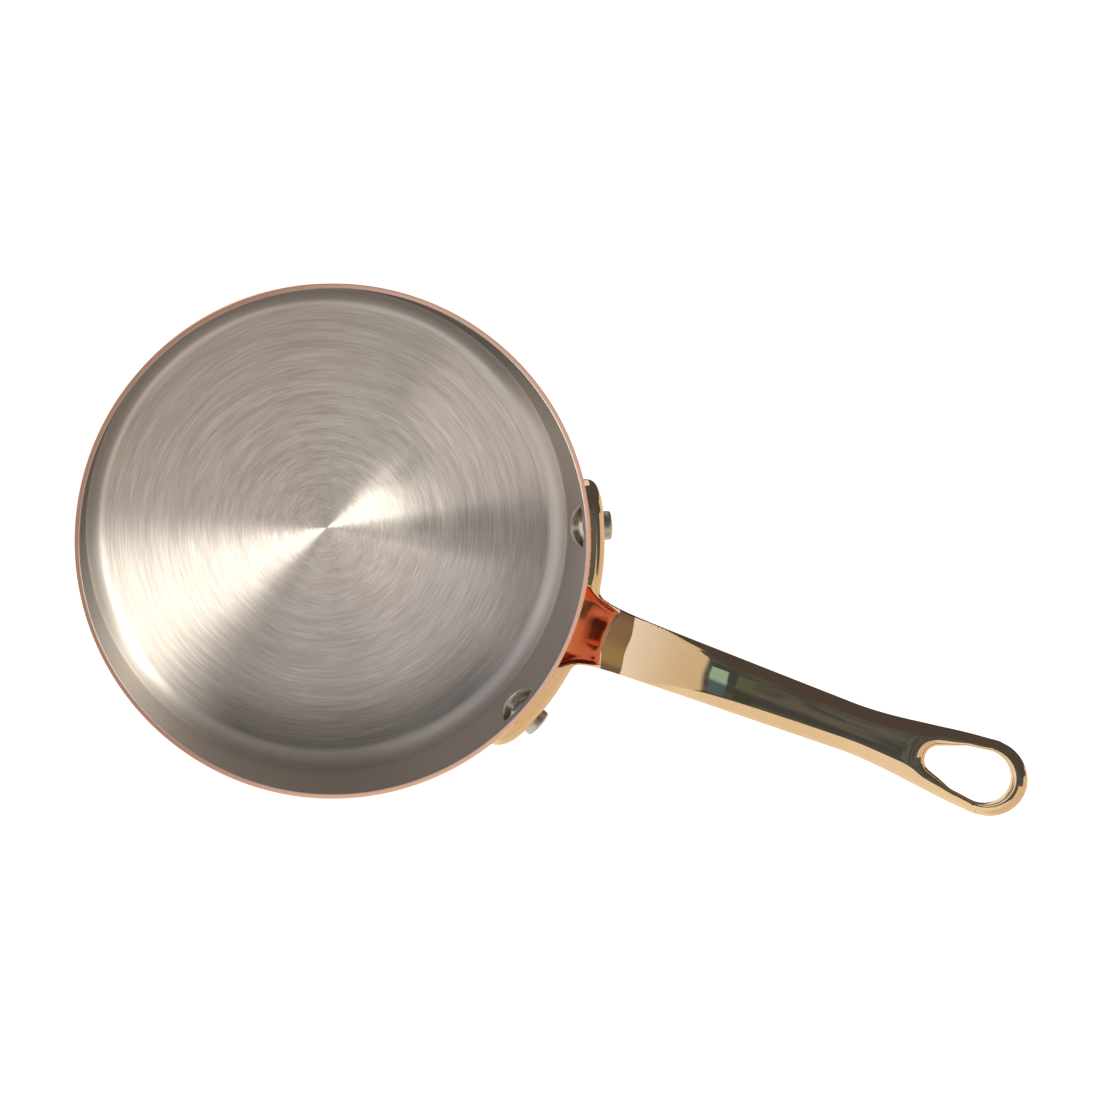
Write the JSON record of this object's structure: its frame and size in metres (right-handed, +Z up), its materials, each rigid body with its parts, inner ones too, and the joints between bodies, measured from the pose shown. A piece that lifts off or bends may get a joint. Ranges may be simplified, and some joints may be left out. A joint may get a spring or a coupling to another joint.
{
  "type": "saucepan",
  "caption": "Straight-sided copper saucepan with a brushed steel lining and a riveted cast handle that ends in a hanging loop.",
  "frame": {"origin": "centre of the base's underside, on the pan's axis", "axes": "+Z up along the pan's axis, +X along the handle away from the pan"},
  "size_m": [0.3097, 0.163, 0.1288],
  "materials": {
    "copper": "polished copper with fine circular polishing lines",
    "lining_steel": "circular brushed stainless",
    "bronze": "mirror-polished cast bronze",
    "rivet_steel": "polished stainless"
  },
  "bodies": {
    "root": {"copper_shell": "copper", "steel_lining": "lining_steel", "handle": "bronze", "rivet_left": "rivet_steel", "rivet_right": "rivet_steel"}
  },
  "joints": []
}
